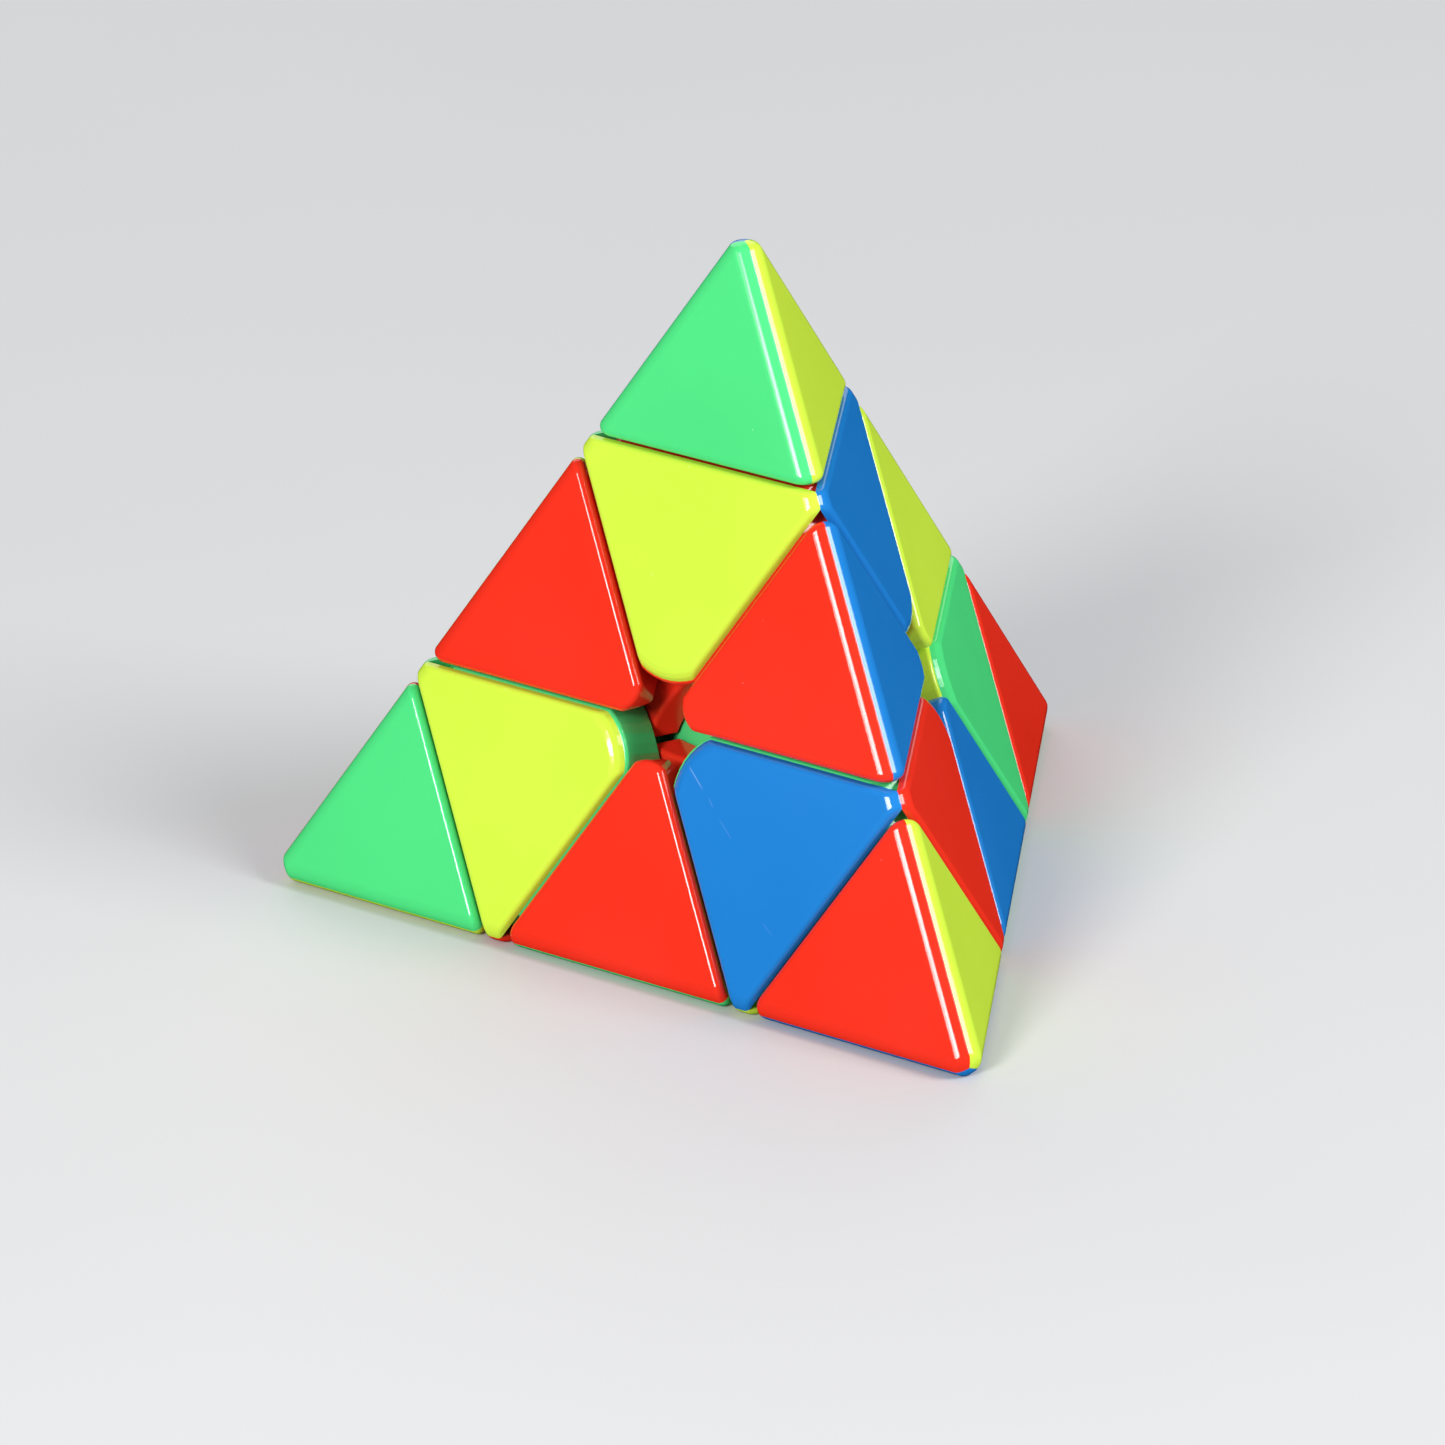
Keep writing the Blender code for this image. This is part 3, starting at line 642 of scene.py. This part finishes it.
class Nodes:
    """A material's node tree, with short calls for the nodes used here."""

    def __init__(self, name):
        self.material = bpy.data.materials.new(name)
        self.material.use_nodes = True
        self.tree = self.material.node_tree
        self.shader = self.tree.nodes["Principled BSDF"]
        self.place = self.add("ShaderNodeTexCoord").outputs["Object"]

    def add(self, kind, inputs=(), **settings):
        node = self.tree.nodes.new(kind)
        for key, value in settings.items():
            setattr(node, key, value)
        for key, value in dict(inputs).items():
            self.feed(node.inputs[key], value)
        return node

    def feed(self, socket, value):
        if isinstance(value, bpy.types.NodeSocket):
            self.tree.links.new(value, socket)
        else:
            socket.default_value = value

    def noise(self, scale, detail=2.0, stretch=(1, 1, 1)):
        spot = self.add("ShaderNodeMapping", {"Vector": self.place, "Scale": stretch})
        inputs = {"Vector": spot.outputs[0], "Scale": scale, "Detail": detail}
        return self.add("ShaderNodeTexNoise", inputs).outputs["Fac"]

    def ramp(self, value, low, high, start=0.0, end=1.0):
        """The value's range low to high, brought to start to end and held there."""
        inputs = {"Value": value, "From Min": low, "From Max": high, "To Min": start, "To Max": end}
        return self.add("ShaderNodeMapRange", inputs).outputs[0]

    def maths(self, operation, first, second=0.0):
        node = self.add("ShaderNodeMath", {0: first, 1: second}, operation=operation)
        return node.outputs[0]

    def mix(self, share, first, second):
        node = self.add("ShaderNodeMix", data_type="RGBA")
        self.feed(node.inputs[0], share)
        self.feed(node.inputs[6], first)
        self.feed(node.inputs[7], second)
        return node.outputs[2]

    def bump(self, height, strength, distance, normal=None):
        inputs = {"Height": height, "Strength": strength, "Distance": distance}
        if normal is not None:
            inputs["Normal"] = normal
        return self.add("ShaderNodeBump", inputs).outputs[0]


def tinted(colour, factor, lift=0.0):
    """The colour made lighter or darker by a factor and greyed by a lift, with alpha."""
    return [min(1.0, c * factor + lift) for c in colour] + [1.0]


def cut_mark(nodes, start, end, width):
    """One straight scratch between two points of the surface, thinning out at its ends."""
    start, end = np.array(start), np.array(end)
    along = unit(end - start)
    across = np.cross(FRONT_NORMAL, along)
    spot = {0: nodes.place}
    side = nodes.add("ShaderNodeVectorMath", {**spot, 1: across}, operation="DOT_PRODUCT").outputs["Value"]
    run = nodes.add("ShaderNodeVectorMath", {**spot, 1: along}, operation="DOT_PRODUCT").outputs["Value"]
    off = nodes.maths("ABSOLUTE", nodes.maths("SUBTRACT", side, across @ start))
    line = nodes.ramp(off, width * 0.35, width, 1.0, 0.0)
    middle, half = along @ (start + end) / 2, np.linalg.norm(end - start) / 2
    beyond = nodes.maths("ABSOLUTE", nodes.maths("SUBTRACT", run, middle))
    length = nodes.ramp(beyond, half * 0.55, half, 1.0, 0.0)
    return nodes.maths("MULTIPLY", line, length)


def gloss_plastic(name, colour, marks=(), finish=GLOSS):
    """Glossy moulded ABS: slight tone drift, orange peel, finger smudges, dust and any scratches."""
    nodes = Nodes(name)
    drift = nodes.ramp(nodes.noise(38.0, 3.0), 0.3, 0.7)
    body = nodes.mix(drift, tinted(colour, 0.965), tinted(colour, 1.03, 0.002))
    specks = nodes.add("ShaderNodeTexVoronoi", {"Vector": nodes.place, "Scale": 300.0, "Randomness": 1.0})
    dust = nodes.ramp(specks.outputs["Distance"], 0.02, 0.045, 0.7, 0.0)
    sparse = nodes.ramp(nodes.noise(170.0, 0.0), 0.62, 0.68)
    body = nodes.mix(nodes.maths("MULTIPLY", dust, sparse), body, tinted(colour, 0.8, 0.22))
    cuts = 0.0
    for start, end, width, depth in marks:
        cut = nodes.maths("MULTIPLY", cut_mark(nodes, start, end, width), depth)
        cuts = nodes.maths("MAXIMUM", cut, cuts)
        body = nodes.mix(cut, body, tinted(colour, 0.9, 0.4))
    nodes.feed(nodes.shader.inputs["Base Color"], body)

    smudges = nodes.ramp(nodes.noise(55.0, 4.0), 0.42, 0.72, *finish)
    nodes.feed(nodes.shader.inputs["Roughness"], smudges)
    normal = nodes.bump(nodes.noise(650.0, 1.0), 0.08, 0.02 * MM)
    if marks:
        normal = nodes.bump(nodes.maths("MULTIPLY", cuts, -1.0), 0.4, 0.02 * MM, normal)
    nodes.feed(nodes.shader.inputs["Normal"], normal)
    return nodes.material


def plated_steel(name, tone):
    """Zinc-plated steel: fine grain, a mottled tone and duller patches."""
    nodes = Nodes(name)
    mottle = nodes.ramp(nodes.noise(900.0, 4.0), 0.3, 0.7)
    nodes.feed(nodes.shader.inputs["Base Color"], nodes.mix(mottle, tinted(tone, 0.8), tinted(tone, 1.1)))
    patches = nodes.ramp(nodes.noise(1500.0, 2.0), 0.3, 0.7, 0.22, 0.42)
    nodes.feed(nodes.shader.inputs["Roughness"], patches)
    grain = nodes.noise(5200.0, 1.0, (0.2, 0.2, 1.0))
    nodes.feed(nodes.shader.inputs["Normal"], nodes.bump(grain, 0.2, 0.01 * MM))
    nodes.shader.inputs["Metallic"].default_value = 1.0
    return nodes.material


def pale_floor(name):
    """Matt studio paper with a slow drift of tone."""
    nodes = Nodes(name)
    tone = nodes.ramp(nodes.noise(2.5, 3.0), 0.3, 0.7)
    paper = nodes.mix(tone, (0.60, 0.60, 0.605, 1), (0.64, 0.64, 0.642, 1))
    nodes.feed(nodes.shader.inputs["Base Color"], paper)
    nodes.feed(nodes.shader.inputs["Roughness"], nodes.ramp(nodes.noise(30.0, 2.0), 0.3, 0.7, 0.7, 0.85))
    nodes.shader.inputs["Specular IOR Level"].default_value = 0.2
    return nodes.material


# ---------------------------------------------------------------- building


def build_puzzle():
    """The core, the four corners and the six edge pieces, each pattern turned into its places."""
    plastics = {name: gloss_plastic(f"{name}_plastic_gloss", colour) for name, colour in PLASTICS.items()}
    scratched_blue = gloss_plastic("blue_plastic_scratched", PLASTICS["blue"], SCRATCHES)
    tip, edge = pattern_arrays(tip_pattern()), pattern_arrays(edge_pattern())
    cap, hub = pattern_arrays(cap_pattern()), pattern_arrays(hub_pattern())
    satin = gloss_plastic("green_plastic_satin", PLASTICS["green"], finish=SATIN)
    core = pattern_arrays(core_pattern())
    add_piece("core_moulding", core, np.eye(3), satin, "core", "core_ball")

    for corner in CORNERS:
        tops = [(mapping, turn) for mapping, turn in ROTATIONS if mapping["top"] == corner]
        layer = f"{corner}_layer"
        colour = HUB_COLOURS[corner]
        name = f"hub_{corner}"
        add_piece(f"{name}_body", hub, tops[0][1], plastics[colour], layer, name)
        for mapping, turn in tops:
            away = mapping["back"]
            face = FACE_OPPOSITE[away]
            colour = CAP_COLOURS[corner][away]
            finish = scratched_blue if (corner, face) == ("right", "front") else plastics[colour]
            name = f"cap_{corner}_{face}"
            add_piece(f"{name}_plate", cap, turn, finish, layer, name)
            colour = TIP_COLOURS[corner][away]
            name = f"tip_{corner}_{face}"
            add_piece(f"{name}_moulding", tip, turn, plastics[colour], f"{corner}_tip", f"{name}_shell")

    for pair, colours in EDGE_COLOURS.items():
        for mapping, turn in ROTATIONS:
            if {mapping["top"], mapping["left"]} != set(pair):
                continue
            away = mapping["back"]
            colour = colours[away]
            body = f"{pair[0]}_{pair[1]}_edge"
            name = f"edge_{pair[0]}_{pair[1]}_{FACE_OPPOSITE[away]}"
            add_piece(f"{name}_moulding", edge, turn, plastics[colour], body, f"{name}_half")


def finish_cad_nodes():
    """Plated steel for the screws and springs, which stay the CAD's own nodes."""
    finishes = {
        "screw_steel": plated_steel("screw_plated_steel", SCREW_TONE),
        "spring_steel": plated_steel("spring_bright_steel", SPRING_TONE),
    }
    for name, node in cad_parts.items():
        if "screw" in name:
            slot = "screw_steel"
        elif "spring" in name:
            slot = "spring_steel"
        else:
            continue
        node.material_slots[0].material = finishes[slot]


# ---------------------------------------------------------------- floor, light and camera

FLOOR_RADIUS = 2.5
FLOOR_SIDES = 96
LIGHT_DISTANCE = 1.2
WORLD_STRENGTH = 0.42

# Disc lights that all point at the origin: name, direction from it, diameter in metres, watts, colour
LIGHTS = (
    ("key_softbox", (0.08, -0.88, 0.48), 0.38, 9.8, (1.0, 0.995, 0.985)),
    ("fill_softbox", (0.782, 0.143, 0.607), 0.55, 10.0, (0.985, 0.992, 1.0)),
    ("back_softbox", (-0.62, 0.60, 0.50), 1.1, 4.0, (1.0, 1.0, 1.0)),
)

# The view: where the camera stands, what it looks at, its slight sideways tilt, and its lens in millimetres
CAMERA_PLACE = np.array([0.63181, -0.84867, 0.48011])
CAMERA_TARGET = np.array([-0.003361, -0.002534, -0.000018])
CAMERA_ROLL = radians(-1.88)
CAMERA_LENS = 252.2
CAMERA_SENSOR = 36.0
CAMERA_NEAR = 0.01
CAMERA_FAR = 20.0


def build_floor():
    mesh = bpy.data.meshes.new("floor")
    bm = bmesh.new()
    bmesh.ops.create_circle(bm, cap_ends=True, segments=FLOOR_SIDES, radius=FLOOR_RADIUS)
    bm.to_mesh(mesh)
    bm.free()
    mesh.materials.append(pale_floor("floor_paper"))
    floor = add_object("floor", mesh)
    floor.location.z = -FACE_DISTANCE
    floor.visible_glossy = False


def add_light(name, direction, size, watts, colour):
    data = bpy.data.lights.new(name, "AREA")
    data.shape = "DISK"
    data.size = size
    data.energy = watts
    data.color = colour
    light = add_object(name, data)
    away = unit(np.array(direction))
    light.matrix_world = looking(away * LIGHT_DISTANCE, -away, 0.0)


def looking(place, forward, roll):
    """A matrix at the place whose -Z axis points forward, turned by roll about it."""
    level = unit(np.cross(forward, (0, 0, 1)))
    upright = np.cross(level, forward)
    right = level * cos(roll) + upright * sin(roll)
    up = np.cross(right, forward)
    matrix = np.eye(4)
    matrix[:3, 0], matrix[:3, 1], matrix[:3, 2], matrix[:3, 3] = right, up, -forward, place
    return Matrix(matrix.tolist())


def build_light():
    for light in LIGHTS:
        add_light(*light)
    world = bpy.data.worlds.new("studio")
    world.use_nodes = True
    background = world.node_tree.nodes["Background"]
    background.inputs["Color"].default_value = WORLD_COLOUR
    background.inputs["Strength"].default_value = WORLD_STRENGTH
    world.cycles_visibility.glossy = False
    bpy.context.scene.world = world


def build_camera():
    data = bpy.data.cameras.new("camera")
    data.sensor_width = CAMERA_SENSOR
    data.lens = CAMERA_LENS
    data.clip_start = CAMERA_NEAR
    data.clip_end = CAMERA_FAR
    camera = add_object("camera", data)
    camera.matrix_world = looking(CAMERA_PLACE, unit(CAMERA_TARGET - CAMERA_PLACE), CAMERA_ROLL)
    bpy.context.scene.camera = camera


build_puzzle()
finish_cad_nodes()
build_floor()
build_light()
build_camera()
bpy.context.scene.view_settings.view_transform = "Standard"
